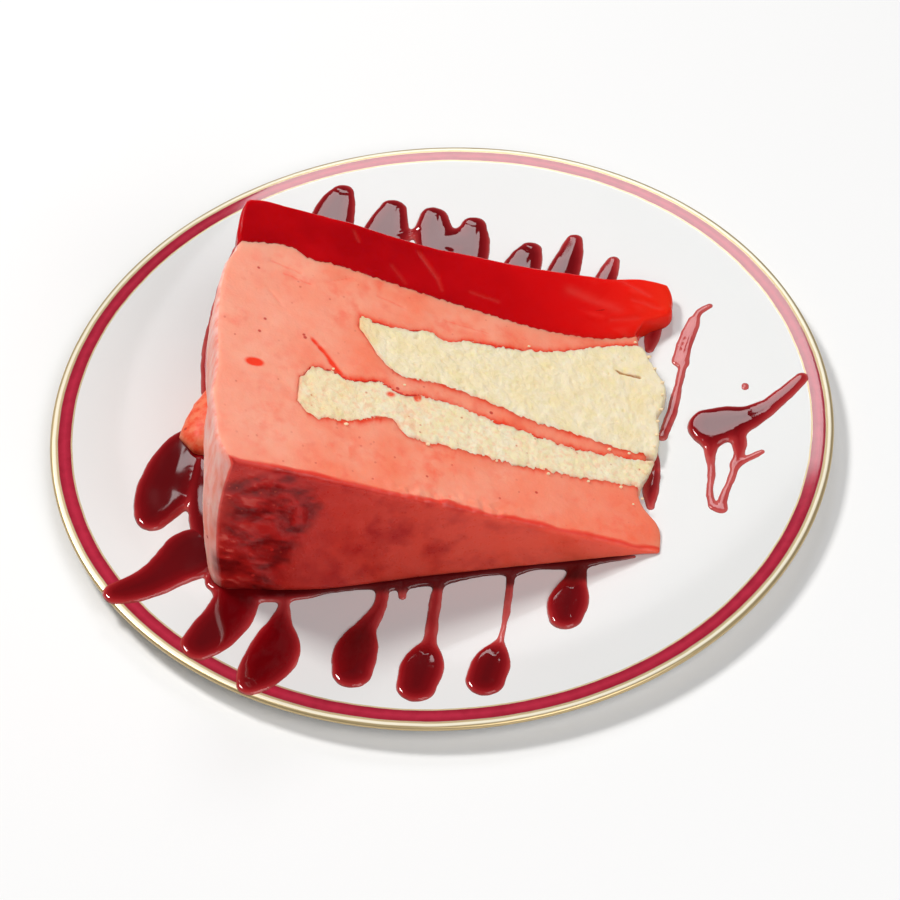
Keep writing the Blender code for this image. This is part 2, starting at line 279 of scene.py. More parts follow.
# Each run is a row of places in millimetres from the plate's middle: x, y and half the run's width.
SAUCE_GROUPS = {
    "sauce_front": [
        [(-59, -39, 6.5), (-63, -41, 8.2), (-68, -45.2, 6.6), (-75, -50.6, 5.0), (-80, -52.6, 4.2),
         (-82.5, -53.2, 3.6)],
        [(-52, -50, 5.8), (-53, -57, 6.0), (-55.5, -63.5, 6.4), (-59, -68, 6.2), (-61.5, -70.8, 5.2)],
        [(-41.1, -53, 1.4), (-41.3, -61, 1.8), (-42.6, -67, 3.7), (-43.8, -74.5, 6.6), (-47, -80.5, 5.8),
         (-49.5, -84, 3.6)],
        [(-16.5, -53, 1.7), (-17.6, -61.3, 1.9), (-21.4, -68.5, 3.1), (-24, -76, 5.6), (-24.8, -82, 5.1)],
        [(-2.4, -52, 1.5), (-4.7, -66.2, 1.7), (-5.8, -74, 2.0), (-8, -82, 5.5), (-9.4, -87.5, 5.0)],
        [(15.5, -51.5, 1.2), (13.5, -65.3, 1.0), (11.5, -74.5, 1.1), (8.8, -82, 4.8), (7.3, -87, 4.9)],
        [(32.2, -51.5, 2.0), (30.7, -57.5, 3.3), (28.5, -64.5, 5.1), (27.9, -68.2, 4.3)],
        [(-11.8, -53.5, 1.4), (-12, -58.6, 1.0)],
        [(-58, -51, 3.0), (-55, -53.6, 2.9), (-49, -55.0, 2.7), (-43, -55.9, 2.6), (-36, -55.9, 1.9),
         (-30, -55.2, 1.1), (-22, -54.3, 1.3), (-14, -53.9, 2.3), (-8.5, -53.5, 2.3), (-3, -53.1, 2.5),
         (5, -52.4, 1.6), (12, -51.9, 1.3), (16, -51.8, 1.9), (22, -51.3, 1.2), (26, -51.1, 1.5),
         (32, -50.9, 2.0), (38.5, -50.6, 1.2), (46, -50.2, 0.7)],
    ],
    "sauce_left": [
        [(-62.5, 1, 2.4), (-66.5, -6, 5.6), (-69.7, -16, 7.6), (-72.2, -23.5, 6.9), (-74, -28.5, 4.6)],
        [(-59, -6, 3.0), (-60.5, -18, 4.5), (-60, -30, 5.0), (-58, -40, 5.0)],
        [(-51.5, 69, 0.7), (-55.0, 58, 1.2), (-58.4, 42.2, 1.3), (-60.4, 30.4, 1.4), (-60.8, 22, 1.5),
         (-60.5, 14, 1.6)],
    ],
    "sauce_back": [
        [(-29.5, 62, 6.5), (-27, 73, 6.4), (-25, 80.8, 5.0), (-23.6, 84.4, 3.6)],
        [(-15.5, 54, 7.6), (-13.2, 65, 7.0), (-11.2, 72.6, 5.5), (-10.0, 77.2, 4.0)],
        [(-9.5, 67, 2.0), (-3, 68.5, 1.6)],
        [(2.5, 50, 6.5), (2.0, 60, 6.2), (1.0, 69.3, 5.2), (1.0, 73.6, 4.0)],
        [(7.5, 46, 5.6), (9.2, 56, 5.8), (11, 64.6, 4.9), (11.8, 69.2, 3.8)],
        [(3.8, 63.5, 5.6), (8.3, 63.2, 5.6)],
        [(21, 42, 5.8), (23, 50, 5.7), (25, 55.8, 4.6), (26.6, 59.2, 3.2)],
        [(32, 42, 5.0), (34.6, 49.5, 4.7), (37.3, 57, 3.5), (38.7, 61.6, 2.5)],
        [(43.5, 40, 3.4), (45.8, 46, 3.2), (47.5, 50.4, 2.5), (48.6, 53.2, 1.8)],
    ],
    "sauce_right": [
        [(58.2, 30, 2.0), (56.8, 25, 2.2), (55.6, 20.5, 1.4)],
        [(72.6, 34.1, 1.0), (69.8, 32.2, 1.2), (68, 27.1, 1.3), (65.6, 20, 1.2), (63.4, 12.1, 1.2),
         (61.5, 5, 1.3), (59.4, -2.9, 1.5), (56.4, -10.5, 1.4)],
        [(67.3, 29.7, 0.8), (65.1, 25, 1.0), (62.9, 18.7, 1.0), (62.3, 14.9, 1.0), (64.3, 14.3, 1.0)],
        [(54, -15, 1.0), (53.4, -21, 1.8), (52, -28, 2.2), (51.5, -34, 1.2)],
        [(94, 6, 1.9), (89, 1, 2.4), (83.5, -3.7, 3.0), (79, -6.2, 4.0), (74, -7.4, 5.6), (69.5, -8.6, 6.5)],
        [(75.5, -10, 2.4), (75.6, -16, 1.9), (75.3, -18.5, 1.5), (74.2, -21.4, 1.2), (72.5, -26.7, 1.1),
         (69.8, -33.4, 1.2), (69.2, -36.4, 1.2)],
        [(68.6, -14, 2.4), (68, -19, 1.4), (67.9, -23, 1.1), (66.7, -33.1, 1.1), (67.2, -35.8, 1.2),
         (69.2, -36.6, 1.2)],
        [(74.2, -22, 1.2), (77.8, -20.2, 1.1), (81.1, -18.5, 0.9)],
        [(79.1, 4.2, 1.1), (79.2, 4.8, 1.1)],
    ],
}


def through(stations, at):
    """A smooth curve through (place, value) stations, read at one or more places."""
    place, value = np.array(stations, float).T
    slope = np.gradient(value, place)
    i = np.clip(np.searchsorted(place, at) - 1, 0, len(place) - 2)
    width = place[i + 1] - place[i]
    t = np.clip((at - place[i]) / width, 0.0, 1.0)
    return (
        value[i] * (1 + 2 * t) * (1 - t) ** 2 + slope[i] * width * t * (1 - t) ** 2
        + value[i + 1] * t * t * (3 - 2 * t) - slope[i + 1] * width * t * t * (1 - t)
    )


def soft(points, size, shift=0.0):
    """Fixed noise between -1 and 1 at rows of points in millimetres, with swells about size across."""
    return np.array([noise.noise(Vector(p) / size + Vector((shift, shift, shift))) for p in points])


def flowed(run):
    """One run as short straight stretches along a smooth path: rows of x, y and half width."""
    points = np.array(run, float)
    length = np.r_[0, np.cumsum(np.hypot(*np.diff(points[:, :2], axis=0).T))]
    at = np.linspace(0, length[-1], max(3, int(length[-1] / 0.7)))
    return np.stack([through(np.c_[length, points[:, n]], at) for n in range(3)], axis=1)


def inside_runs(runs, x, y):
    """How far each place lies inside the runs' outline, below 0 outside it, and their half width there."""
    joined = np.full(x.shape, -99.0)
    weight = np.full(x.shape, 1e-9)
    wide = np.zeros(x.shape)
    for run in runs:
        path = flowed(run)
        reach = np.full(x.shape, -99.0)
        half = np.zeros(x.shape)
        for (ax, ay, aw), (bx, by, bw) in zip(path, path[1:]):
            long = max((bx - ax) ** 2 + (by - ay) ** 2, 1e-9)
            t = np.clip(((x - ax) * (bx - ax) + (y - ay) * (by - ay)) / long, 0, 1)
            here = aw + (bw - aw) * t - np.hypot(x - ax - (bx - ax) * t, y - ay - (by - ay) * t)
            half = np.where(here > reach, aw + (bw - aw) * t, half)
            reach = np.maximum(reach, here)
        near = np.maximum(1.6 - np.abs(joined - reach), 0) / 1.6
        joined = np.maximum(joined, reach) + near * near * 0.4
        share = np.exp(np.clip(reach, -6, 9) / 0.8)
        weight += share
        wide += share * half
    return joined, wide / weight


def points_of(thing):
    """The mesh's points, as rows of x, y and z."""
    flat = np.zeros(len(thing.data.vertices) * 3)
    thing.data.vertices.foreach_get("co", flat)
    return flat.reshape(-1, 3)


def keep(thing, name, values):
    """Stores one number at each point of the mesh, for its finish to read."""
    layer = thing.data.attributes.new(name, "FLOAT", "POINT")
    layer.data.foreach_set("value", np.asarray(values, float))


def above_plate(x, y):
    return plate_top(np.hypot(x, y))


def reach_of(runs, x, y):
    """How far a place lies inside the sauce's own wavering outline."""
    rows = np.c_[x, y, np.zeros(len(x))]
    return inside_runs(runs, x, y)[0] + 0.25 * soft(rows, 4.5) + 0.1 * soft(rows, 1.7, 3.0)


def trim_grid(pool, runs, flat):
    """Deletes the faces that lie outside the outline."""
    rough = inside_runs(runs, *flat.T)[0]
    reach = np.where(rough > -2, rough, -99.0)
    close = np.flatnonzero(rough > -2)
    reach[close] = reach_of(runs, *flat[close].T)
    start_editing(pool)
    shell = bmesh.from_edit_mesh(pool.data)
    bpy.ops.mesh.select_mode(type="FACE")
    bpy.ops.mesh.select_all(action="DESELECT")
    for face in shell.faces:
        face.select_set(sum(reach[v.index] for v in face.verts) <= 0)
    bmesh.update_edit_mesh(pool.data)
    bpy.ops.mesh.delete(type="FACE")
    shell = bmesh.from_edit_mesh(pool.data)
    for vert in [v for v in shell.verts if not v.link_faces]:
        shell.verts.remove(vert)
    bmesh.update_edit_mesh(pool.data)
    bpy.ops.object.mode_set(mode="OBJECT")


def border_of(thing):
    """True at each point on an open edge of the mesh."""
    border = np.zeros(len(thing.data.vertices), bool)
    sides = {}
    for polygon in thing.data.polygons:
        for edge in polygon.edge_keys:
            sides[edge] = sides.get(edge, 0) + 1
    for edge, faces in sides.items():
        if faces == 1:
            border[list(edge)] = True
    return border


def pull_border(runs, flat, border):
    """Moves the points of the open edge onto the outline, in two short steps."""
    for _ in range(2):
        x, y = flat[border].T
        here = reach_of(runs, x, y)
        slope = np.c_[reach_of(runs, x + 0.1, y) - here, reach_of(runs, x, y + 0.1) - here] / 0.1
        step = -here[:, None] * slope / np.maximum((slope ** 2).sum(axis=1), 0.25)[:, None]
        size = np.hypot(*step.T)[:, None]
        flat[border] += step * np.minimum(1.0, 0.3 / np.maximum(size, 1e-6))


def sauce_depth(runs, flat, border):
    """Flat in the middle of a pool, with a round edge that slopes more gently on the right."""
    inner = np.maximum(reach_of(runs, *flat.T), 0)
    inner[border] = 0
    half = inside_runs(runs, *flat.T)[1]
    east, west, north, south = [
        inside_runs(runs, flat[:, 0] + dx, flat[:, 1] + dy)[0]
        for dx, dy in ((1.4, 0), (-1.4, 0), (0, 1.4), (0, -1.4))
    ]
    lean = np.clip((0.9 * (west - east) + 0.45 * (south - north)) / 2.8, 0, 1)
    full = np.clip(DEPTH_PER_WIDTH * half, 0.26, SAUCE_DEPTH)
    level = np.clip(0.6 * (plate_top(76.0) - above_plate(*flat.T)), -0.4, 0.4)
    swell = 1 + 0.07 * soft(np.c_[flat, np.zeros(len(flat))], 8.0, 8.0)
    edge = (0.14 + 0.3 * full) * (1 + 2.0 * lean)
    return (full * swell + level * full / SAUCE_DEPTH) * (1 - np.exp(-inner / edge))


def close_underneath(pool):
    """Copies the upper face, lays the copy on the plate and joins the two at their edge."""
    start_editing(pool)
    bpy.ops.mesh.select_mode(type="FACE")
    bpy.ops.mesh.select_all(action="SELECT")
    bpy.ops.mesh.duplicate()
    bpy.ops.mesh.flip_normals()
    shell = bmesh.from_edit_mesh(pool.data)
    for vert in [v for v in shell.verts if v.select]:
        vert.co.z = (float(above_plate(vert.co.x / MM, vert.co.y / MM)) - SAUCE_SUNK) * MM
    bmesh.update_edit_mesh(pool.data)
    bpy.ops.mesh.select_all(action="SELECT")
    bpy.ops.mesh.remove_doubles(threshold=0.00001)
    stop_editing()


def pour_sauce(name, runs):
    """Starts as a flat grid, is trimmed to the outline and then swelled to the sauce's depth."""
    places = np.array([place[:2] for run in runs for place in run])
    low = places.min(axis=0) - 9
    high = places.max(axis=0) + 9
    cells = np.ceil((high - low) / SAUCE_CELL).astype(int)
    bpy.ops.object.select_all(action="DESELECT")
    bpy.ops.mesh.primitive_grid_add(
        x_subdivisions=int(cells[0]), y_subdivisions=int(cells[1]), size=MM, location=(0, 0, 0)
    )
    pool = bpy.context.object
    pool.name = name

    def spread():
        return points_of(pool)[:, :2] / MM * (high - low) + (low + high) / 2

    trim_grid(pool, runs, spread())
    flat = spread()
    border = border_of(pool)
    pull_border(runs, flat, border)
    top = above_plate(*flat.T) - SAUCE_SUNK + sauce_depth(runs, flat, border)
    pool.data.vertices.foreach_set("co", (np.c_[flat, top] * MM).ravel())
    close_underneath(pool)
    pool.data.shade_smooth()

    x, y = points_of(pool).T[:2] / MM
    ahead, half = inside_runs(runs, x, y)
    keep(pool, "inner", ahead * np.clip(DEPTH_PER_WIDTH * half, 0.2, SAUCE_DEPTH) / SAUCE_DEPTH)
    # The band of sauce along the slice's foot is marked for a painted shadow.
    foot = smooth((y + 58.5) / 2.5) * smooth((-y - 45) / 3)
    keep(pool, "gathered", foot * smooth((52 + x) / 8) * smooth((50 - x) / 10))
    return pool


syrup = Finish("berry_syrup", {"IOR": 1.45, "Specular IOR Level": 0.42})
thick = (syrup.stored("inner") + (syrup.cloud(5.0, 2.0) - 0.5) * 0.5).step(0.0, 4.5)
tone = syrup.add("ShaderNodeValToRGB", {"stops": [
    (0.0, rgb(200, 92, 88)), (0.1, rgb(170, 44, 46)), (0.26, rgb(138, 18, 24)),
    (0.5, rgb(112, 4, 10)), (1.0, rgb(94, 3, 8)),
]}, {0: thick})
# Along the slice's foot the syrup is darkened as painted shadow.
syrup.feed("Base Color", syrup.mix(syrup.stored("gathered") * 0.8, tone, rgb(54, 2, 6)))
syrup.feed("Roughness", 0.04 + syrup.cloud(2.0) * 0.02)
for pool_name, pool_runs in SAUCE_GROUPS.items():
    sauce_pool = pour_sauce(pool_name, pool_runs)
    syrup.coat(sauce_pool)
    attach(sauce_pool, "root")
    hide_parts("plate")


# The mousse.
# Berry puree folded into whipped cream with gelatine, poured round the sponges in a round mould.
# The slice was cut with a knife, so its two cut faces are flat and its rim shows the mould's smooth wall.
CUT_ANGLE = math.radians(25)
TIP_AT = np.array([55.0, -49.9])
OUTWARD = np.array([-math.cos(math.radians(2.0)), -math.sin(math.radians(2.0))])
UP_CAKE = np.array([math.sin(math.radians(5.5)), math.cos(math.radians(5.5))])
JELLY_TOP = 87.0
REST_GAP = 0.12
THICK_SPONGE_OUT = 87.0
THIN_SPONGE_OUT = 101.0
SEAM_LAP = 0.45


def on_plate(s, v, phi):
    """Where a place in the cake lies: s out from the cake's middle, v up from its base, phi round it."""
    share = np.clip(phi / CUT_ANGLE, 0, 1)
    bulge = through([(0, 0.2), (30, 0.4), (60, 1.2), (88, 2.8), (98, 2.2), (108, 0.6), (122, -0.6)], s)
    low = v - bulge * (1 - share) ** 2 * np.maximum(0, 1 - v / 25)
    flat = TIP_AT + np.outer(s * np.cos(phi), OUTWARD) + np.outer(low, UP_CAKE)
    lift = 5.5 * (v / JELLY_TOP) * np.maximum(0, 1 - s / 50.0) ** 2
    rise = above_plate(*flat.T) + REST_GAP
    return np.c_[flat, rise * (1 - share) + (FLOOR_TOP + REST_GAP + lift) * share + s * np.sin(phi)]


def in_cake(points):
    """The place in the cake, s, v and phi, of each of these points."""
    flat = points[:, :2] - TIP_AT
    skew = float(UP_CAKE @ OUTWARD)
    along, up = flat @ OUTWARD, flat @ UP_CAKE
    far = (along - skew * up) / (1 - skew * skew)
    v = (up - skew * along) / (1 - skew * skew)
    phi = np.arctan2(points[:, 2] - FLOOR_TOP, np.maximum(far, 0.1))
    return far / np.cos(np.clip(phi, 0, CUT_ANGLE)), v, phi


def off_plate(points, depth):
    """0 where the slice rests on the plate, and 1 from this depth above it."""
    return smooth((points[:, 2] - above_plate(points[:, 0], points[:, 1]) - REST_GAP) / depth)


def rim_radius(v, phi):
    """The mould's wall: drawn in at the jelly, rounded at the base and leaning in towards the plate."""
    wall = through([(0, 116), (3, 118.2), (7, 120.3), (12, 121.2), (20, 122.9), (30, 122.8), (44, 124.2),
                    (64, 124.2), (68, 123.7), (71.4, 121.9), (79, 121.8), (86, 121.2), (90, 119.5)], v)
    tuck = through([(0, 3.9), (4, 4.5), (9, 6.2), (15, 8.4), (25, 10.6), (45, 10.5), (78, 15), (90, 15.5)], v)
    bend = through([(0, 1), (8, 1.07), (25, 1.08), (45, 1.35), (72, 1.15), (90, 1.1)], v)
    return wall - tuck * (1 - np.clip(phi / CUT_ANGLE, 0, 1)) ** bend


def tip_radius(v):
    """Where the thin end broke off."""
    return through([(0, 2.6), (8, 3.1), (15, 7.8), (20, 8.6), (27, 7), (60, 8.5), (66, 9.2), (71, 10)], v)


def jelly_bottom(s):
    """The height of the seam between the mousse and the jelly."""
    seam = through([(0, 70.8), (10, 69.2), (18, 67), (32, 65.8), (55, 67.2), (73, 69), (83, 70.2), (96, 71.6),
                    (103, 71.8), (105.5, 73.3), (116, 72.9), (123, 71)], s)
    seam += 0.26 * np.sin(1.9 * s) * np.sin(0.53 * s + 1)
    return seam + 0.2 * np.sin(4.3 * s + 2) * np.sin(0.87 * s)


def torn(s, shift):
    """The small waver of a sponge's edge."""
    wave = 0.2 * np.sin(1.7 * s + shift) * np.sin(0.61 * s + shift)
    wave += 0.16 * np.sin(3.7 * s + 2 * shift) * np.sin(1.3 * s)
    return wave + 0.12 * np.sin(7.3 * s + 3 * shift) * np.sin(2.9 * s + shift)


def thick_sponge_edges(s):
    """The heights of the thick sponge's lower and upper faces."""
    low = through([(0, 31), (4, 30.7), (13, 30.1), (22, 31.3), (35, 33.4), (43, 34.4), (50, 36.6), (58, 38.2),
                   (65, 38.9), (77, 39.9), (81, 43.5), (84, 48), (88, 53)], s)
    high = through([(0, 66.5), (9, 66.5), (22, 63.6), (32, 59.8), (42, 57.6), (49, 56.9), (58, 56.1),
                    (64, 54.2), (68, 56), (75, 55), (88, 55.8)], s)
    return low + torn(s, 1.0), high + torn(s, 2.0)


def thin_sponge_edges(s):
    """The heights of the thin sponge's lower and upper faces."""
    low = through([(4, 19.9), (12, 19.2), (22, 18.6), (31, 18.3), (60, 18.8), (67, 19.1), (73, 20.6),
                   (76, 23.6), (80, 22.8), (85, 20.8), (92, 19.3), (99, 20.6), (101, 23.5)], s)
    high = through([(4, 28.2), (13, 27.9), (31, 28.1), (42, 30.1), (50, 31.3), (57, 32.8), (64, 33.9),
                    (69, 34.1), (75, 33.4), (79, 35.4), (88, 34), (93, 35.4), (99, 34.2), (101, 31)], s)
    return low + 1.5 * torn(s, 3.0), high + 1.3 * torn(s, 4.0)


def block(name, cells):
    """A closed unit block of small cells, ready to be shaped."""
    bpy.ops.object.select_all(action="DESELECT")
    bpy.ops.mesh.primitive_grid_add(
        x_subdivisions=cells[0], y_subdivisions=cells[1], size=1, location=(0.5, 0.5, 0)
    )
    thing = bpy.context.object
    thing.name = name
    bpy.ops.object.transform_apply(location=True, rotation=False, scale=False)
    start_editing(thing)
    bpy.ops.mesh.select_mode(type="FACE")
    bpy.ops.mesh.select_all(action="SELECT")
    bpy.ops.mesh.extrude_region_move(TRANSFORM_OT_translate={"value": (0, 0, 1)})
    bpy.ops.mesh.select_mode(type="EDGE")
    bpy.ops.mesh.select_all(action="DESELECT")
    shell = bmesh.from_edit_mesh(thing.data)
    for edge in shell.edges:
        edge.select_set(abs(edge.verts[0].co.z - edge.verts[1].co.z) > 0.5)
    bmesh.update_edit_mesh(thing.data)
    bpy.ops.mesh.subdivide(number_cuts=cells[2] - 1)
    stop_editing()
    return thing


def move_points(thing, points):
    thing.data.vertices.foreach_set("co", np.asarray(points, float).ravel())
    thing.data.update()


def normals_of(thing):
    flat = np.zeros(len(thing.data.vertices) * 3)
    thing.data.vertex_normals.foreach_get("vector", flat)
    return flat.reshape(-1, 3)


def cut_wedge(name, cells, inner, outer, edges, rounding, square=None):
    """Shapes a block as part of the wedge, between two radii and two heights, with rounded edges.

    The edges are rounded on a plain box of about the layer's size, which is then bent to the layer's shape.
    square is "low" or "high" where the block meets another at a seam and keeps its edges sharp.
    """
    thing = block(name, cells)
    unit = points_of(thing)
    long, tall = 110.0, 40.0
    low, high = edges(np.full(len(unit), 60.0))
    v = low + (high - low) * unit[:, 1]
    s = inner(v) + (outer(v, np.zeros(len(unit))) - inner(v)) * unit[:, 0]
    deep = np.maximum(s * CUT_ANGLE, 1.2)
    size = np.stack([np.full(len(unit), long), np.full(len(unit), tall), deep], axis=1)
    radius_here = np.minimum(rounding, 0.45 * deep)[:, None]
    place = unit * size
    inset = np.repeat(radius_here, 3, axis=1)
    past = inset.copy()
    inset[:, 1] *= square != "low"
    past[:, 1] *= square != "high"
    core = np.clip(place, inset, size - past)
    out = place - core
    far = np.linalg.norm(out, axis=1)[:, None]
    place = core + out / np.maximum(far, 1e-9) * np.minimum(far, radius_here)
    phi = CUT_ANGLE * np.clip(place[:, 2] / deep, 0, 1)
    low, high = edges(s)
    v = low + (high - low) * place[:, 1] / tall
    s = inner(v) + (outer(v, phi) - inner(v)) * place[:, 0] / long
    low, high = edges(s)
    v = low + (high - low) * place[:, 1] / tall
    move_points(thing, on_plate(s, v, phi) * MM)
    start_editing(thing)
    stop_editing()
    return thing


def flat_end(radius):
    """The same radius at every height."""
    return lambda v, phi=None: np.full(len(v), radius)


def apply_modifier(thing, kind, **settings):
    bpy.ops.object.select_all(action="DESELECT")
    thing.select_set(True)
    bpy.context.view_layer.objects.active = thing
    modifier = thing.modifiers.new(kind.title(), kind)
    for name, value in settings.items():
        setattr(modifier, name, value)
    bpy.ops.object.modifier_apply(modifier=modifier.name)


def beyond(s, v, edges, inner, outer):
    """How far a place lies outside a layer of sponge, seen on the cut face. Below 0 inside it."""
    low, high = edges(s)
    return np.maximum(np.maximum(low - v, v - high), np.maximum(inner - s, s - outer))


mousse_body = cut_wedge(
    "mousse_body", (205, 118, 40), tip_radius, rim_radius,
    lambda s: (np.zeros(len(s)), jelly_bottom(s)), 1.3, "high",
)
bpy.ops.object.select_all(action="DESELECT")
bpy.ops.mesh.primitive_uv_sphere_add(segments=40, ring_count=24, radius=1)
smear = bpy.context.object
spots = points_of(smear)
far_end = 0.5 + 0.5 * spots[:, 1]
spots = np.c_[
    -59 + (11.2 - 8.4 * far_end) * spots[:, 0], 2.6 + 12 * spots[:, 1], 7 + (4.6 - far_end) * spots[:, 2]
]
spots += (0.8 * soft(spots, 4.0) + 0.35 * soft(spots, 1.5, 3.0))[:, None] * np.array([1, 0.6, 0.7])
spots[:, 2] = np.maximum(spots[:, 2], above_plate(spots[:, 0], spots[:, 1]) + REST_GAP)
move_points(smear, spots * MM)
apply_modifier(mousse_body, "BOOLEAN", operation="UNION", object=smear, solver="EXACT")
bpy.data.objects.remove(smear)
for sponge_edges, sponge_inner, sponge_outer in (
    (thick_sponge_edges, 3.0, THICK_SPONGE_OUT), (thin_sponge_edges, 5.5, THIN_SPONGE_OUT),
):
    cutter = cut_wedge(
        "recess", (160, 12, 8), flat_end(sponge_inner), flat_end(sponge_outer - 0.2),
        lambda s: (sponge_edges(s)[0] + SEAM_LAP, sponge_edges(s)[1] - SEAM_LAP), 0.05,
    )
    spots = points_of(cutter)
    facing = normals_of(cutter)[:, 2]
    spots[:, 2] += 2.5 * MM * (1.0 * (facing > 0.5) - 1.0 * (facing < -0.5))
    move_points(cutter, spots)
    apply_modifier(mousse_body, "BOOLEAN", operation="DIFFERENCE", object=cutter, solver="MANIFOLD")
    bpy.data.objects.remove(cutter)


def scratch(s, v, start, end, wide):
    """1 along a line on the cut face, fading out over its width."""
    along, up = end[0] - start[0], end[1] - start[1]
    t = np.clip(((s - start[0]) * along + (v - start[1]) * up) / (along ** 2 + up ** 2), 0, 1)
    away = np.hypot(s - start[0] - along * t, v - start[1] - up * t)
    return np.exp(-((away / wide) ** 2))


def scrapes(s, v, strokes):
    """The depth of the deepest of several scratches at each place."""
    return np.max([deep * scratch(s, v, start, end, wide) for start, end, wide, deep in strokes], axis=0)


FILM = [(103, 43, 4.5), (97, 38, 11), (99, 30, 11.5), (101.5, 22, 10.5), (104, 14, 9), (107, 7, 6.5)]
MOUSSE_STROKES = (
    ((108.6, 64.7), (101.0, 62.8), 0.5, 0.35), ((104, 66), (112, 68), 0.6, 0.3),
    ((83, 64.5), (76, 62.5), 0.6, 0.3), ((70, 63), (62, 62.5), 0.6, 0.2),
    ((90, 68.6), (95, 66), 0.5, 0.3), ((64, 61.5), (52, 60.4), 0.5, 0.3), ((112, 58), (108, 54), 0.4, 0.25),
)
MOUSSE_CRACK = (((99.1, 44.7), (93.2, 38.3), 0.75, 1.0), ((94, 39), (91.1, 35.0), 1.0, 1.0))
spots = points_of(mousse_body) / MM
facing = normals_of(mousse_body)
s, v, phi = in_cake(spots)
on_cut = smooth((facing[:, 2] - 0.55) / 0.3)
on_base = smooth((-facing[:, 1] - 0.45) / 0.3)
on_rim = smooth((-facing[:, 0] - 0.15) / 0.35) * smooth((s - 90) / 10)
to_thick = beyond(s, v, thick_sponge_edges, 1.0, THICK_SPONGE_OUT)
to_thin = beyond(s, v, thin_sponge_edges, 5.0, THIN_SPONGE_OUT)
film = inside_runs([FILM], s * np.cos(phi), spots[:, 2])[0]
film = on_base * smooth((film + 2.0 * soft(spots, 6.0, 2.0) + 0.7 * soft(spots, 2.0, 4.0) + 1.5) / 4.5)
smeared = smooth((s - rim_radius(v, phi) - 0.8) / 1.2)
relief = 0.28 * soft(spots, 16.0) + 0.16 * soft(spots, 5.0, 4.0) + 0.08 * soft(spots, 1.8, 9.0)
relief += on_rim * 0.35 * soft(spots * np.array([1, 1, 0.18]), 3.0, 2.0)
edge_bits = np.exp(-(((v - 2.0) / 2.2) ** 2)) * on_cut * smooth((s - 40) / 8) * smooth((80 - s) / 8)
relief += edge_bits * 0.9 * soft(spots, 1.7, 6.0)
curled = spots * np.array([0.6, 1, 1.5]) + 3.0 * soft(spots, 9.0)[:, None]
curl = soft(curled, 4.0, 3.0)
fine_curl = soft(curled, 1.7, 6.0)
relief += film * (0.1 + 0.4 * curl + 0.15 * fine_curl)
crack = on_cut * scrapes(s, v, MOUSSE_CRACK) * (0.75 + 0.5 * soft(spots, 1.5, 3.0))
lens = np.exp(-((((s - 113.2) / 2.6) ** 2 + ((v - 32.7) / 1.5) ** 2) ** 2)) * on_cut
scraped = on_cut * scrapes(s, v, MOUSSE_STROKES)
relief -= 0.3 * crack + 0.05 * lens + scraped
near_seam = smooth((jelly_bottom(s) - v) / 1.5)
spots += facing * (relief * off_plate(spots, 1.5) * near_seam)[:, None]
move_points(mousse_body, spots * MM)
mousse_body.data.shade_smooth()
wander = soft(spots, 7.0, 1.0)
soaked = np.maximum(on_base, smooth((2.0 - v + 0.9 * wander) / 2.0)) * (1 - on_rim)
keep(mousse_body, "soak", soaked)
keep(mousse_body, "stain", np.exp(-np.maximum(np.minimum(to_thick, to_thin), 0) / 1.1))
keep(mousse_body, "rim", on_rim)
keep(mousse_body, "film", film)
keep(mousse_body, "curl", 0.5 + 0.9 * curl + 0.5 * fine_curl)
keep(mousse_body, "smeared", smeared)
keep(mousse_body, "mark", np.clip(np.maximum(lens, crack) + 1.2 * scraped, 0, 1))
keep(mousse_body, "along", np.clip(s / 120, 0, 1))

cream = Finish("berry_mousse", {
    "IOR": 1.4, "Specular IOR Level": 0.35, "Subsurface Weight": 0.5, "Subsurface Radius": (1.0, 0.3, 0.18),
    "Subsurface Scale": 0.003,
})


def specks(finish, every, size, share, shift):
    """Small dots, one in some of the cells of a fixed pattern."""
    sockets = {"Vector": finish.place(), "Location": (shift, shift, shift)}
    moved = finish.add("ShaderNodeMapping", None, sockets)
    sockets = {"Vector": moved, "Scale": 1.0 / (every * MM), "Randomness": 1.0}
    near = finish.add("ShaderNodeTexVoronoi", None, sockets)
    tint = finish.add("ShaderNodeTexVoronoi", None, sockets, output="Color")
    pick = finish.add("ShaderNodeSeparateColor", None, {0: tint}, output=0)
    return (1 - near.step(size * 0.6, size)) * pick.step(1 - share, 1 - share + 0.02)


out = cream.stored("along")
uneven = cream.cloud(11.0, 3.0)
body = cream.mix(uneven.step(0.35, 0.7), rgb(255, 160, 132), rgb(255, 136, 104))
blush = cream.cloud(3.4, 4.0, shift=3.0).step(0.45, 0.72) * cream.cloud(14.0, 2.0, shift=4.0).step(0.35, 0.6)
body = cream.mix(blush * 0.7, body, rgb(252, 100, 72))
body = cream.mix((1 - out.step(0.0, 0.5)) * 0.45, body, rgb(254, 108, 76))
body = cream.mix(out.step(0.72, 0.95) * 0.35, body, rgb(255, 186, 164))
pale = cream.cloud(2.2, 3.0, stretch=(1, 1, 0.2)).step(0.35, 0.65)
wall = cream.mix(pale, rgb(252, 146, 126), rgb(255, 194, 182))
body = cream.mix(cream.stored("rim"), body, wall)
patchy = cream.cloud(8.0, 3.0, shift=6.0).step(0.32, 0.62)
stain = (cream.stored("stain") * (0.3 + uneven * 0.6 + patchy * 0.5)).step(0.18, 0.95)
body = cream.mix(stain, body, rgb(252, 74, 46))
soak = (cream.stored("soak") + (cream.cloud(5.0, 3.0, shift=2.0) - 0.5) * 0.35).step(0.05, 0.95)
wet = cream.mix(out.step(0.1, 0.75), rgb(255, 100, 76), rgb(206, 52, 42))
blotch = cream.cloud(7.0, 4.0, shift=5.0).step(0.45, 0.7) * out.step(0.1, 0.6)
body = cream.mix(soak, body, cream.mix(blotch, wet, rgb(182, 28, 26)))
# A saturated red line along the edges of the soaked base is painted light, the glow of light scattered in the
# mousse there.
body = cream.mix(soak * (1 - soak) * 2.8, body, rgb(232, 30, 18))
glossy = cream.stored("film")
